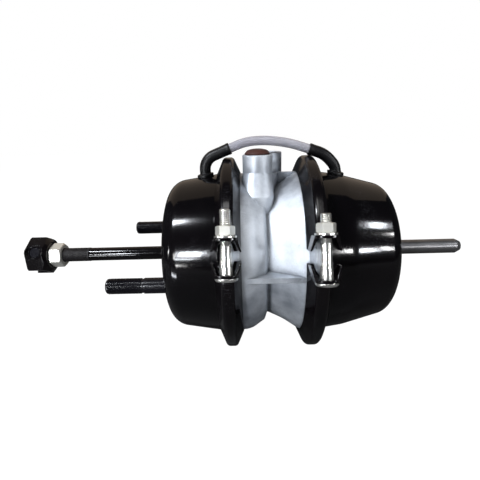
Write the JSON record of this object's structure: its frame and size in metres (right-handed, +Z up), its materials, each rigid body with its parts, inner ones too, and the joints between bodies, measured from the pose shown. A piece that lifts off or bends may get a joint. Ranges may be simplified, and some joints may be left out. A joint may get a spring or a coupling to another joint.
{
  "type": "air brake chamber",
  "caption": "Spring brake chamber: pressed housings clamped to a ported cast centre housing, with pushrod, clevis, mounting studs, vent line and release bolt.",
  "frame": {"origin": "centre of the service housing's mounting face, on the chamber's axis", "axes": "+X along the axis from the mounting face to the spring end, the pushrod points to -X, +Z up out of the air ports"},
  "size_m": [0.4849, 0.248, 0.2302],
  "materials": {
    "housing_black": "gloss",
    "band_black": "gloss",
    "die_cast": "satin",
    "zinc": "satin",
    "zinc_yellow": "satin",
    "stud_black": "satin",
    "rod_black": "gloss",
    "steel_dark": "satin",
    "steel_plain": "satin",
    "spring_steel": "satin",
    "rubber_black": "matte",
    "diaphragm": "matte",
    "tube_grey": "satin",
    "plug_brown": "matte",
    "bush_white": "matte"
  },
  "bodies": {
    "chamber": {"service_housing": "housing_black", "stud_plate": "steel_plain", "mounting_studs": "stud_black", "spring_housing": "housing_black", "centre_housing": "die_cast", "guide_bush": "bush_white", "rod_seals": "rubber_black", "retaining_ring": "steel_plain", "service_clamp_upper": "band_black", "service_clamp_lower": "band_black", "spring_clamp_upper": "band_black", "spring_clamp_lower": "band_black", "clamp_bolts": "zinc", "clamp_washers": "zinc", "clamp_nuts": "zinc", "service_diaphragm": "diaphragm", "spring_diaphragm": "diaphragm", "release_washer": "zinc", "service_return_spring": "spring_steel", "adapter_return_spring": "spring_steel", "power_spring": "spring_steel", "vent_elbow_service": "rubber_black", "vent_elbow_spring": "rubber_black", "vent_tube": "tube_grey"},
    "pushrod": {"push_plate": "steel_plain", "pushrod": "rod_black", "lock_nut": "zinc_yellow", "clevis": "rod_black"},
    "spring_piston": {"spring_piston": "die_cast", "adapter_pushrod": "die_cast", "release_bolt": "steel_dark"},
    "release_nut": {"release_nut": "zinc"},
    "port_plug": {"port_plug": "plug_brown"}
  },
  "joints": [
    {"name": "spring_piston_stroke", "type": "slide", "parent": "chamber", "child": "spring_piston", "axis": [-1, 0, 0], "range_m": [0, 0.057], "deforming": ["power_spring", "adapter_return_spring", "spring_diaphragm"]},
    {"name": "pushrod_stroke", "type": "slide", "parent": "chamber", "child": "pushrod", "axis": [-1, 0, 0], "range_m": [0, 0.057], "stiffness_N_per_m": 1500, "springref_m": -0.05, "deforming": ["service_return_spring", "service_diaphragm"]},
    {"name": "release_nut_turn", "type": "hinge", "parent": "chamber", "child": "release_nut", "pos_m": [0.2419, 0, 0], "axis": [1, 0, 0], "continuous": true},
    {"name": "port_plug_pull", "type": "slide", "parent": "chamber", "child": "port_plug", "axis": [0, 0, 1], "range_m": [0, 0.02]}
  ],
  "couplings": [
    {"joint": "pushrod_stroke", "follows": "spring_piston_stroke", "ratio": 1}
  ]
}
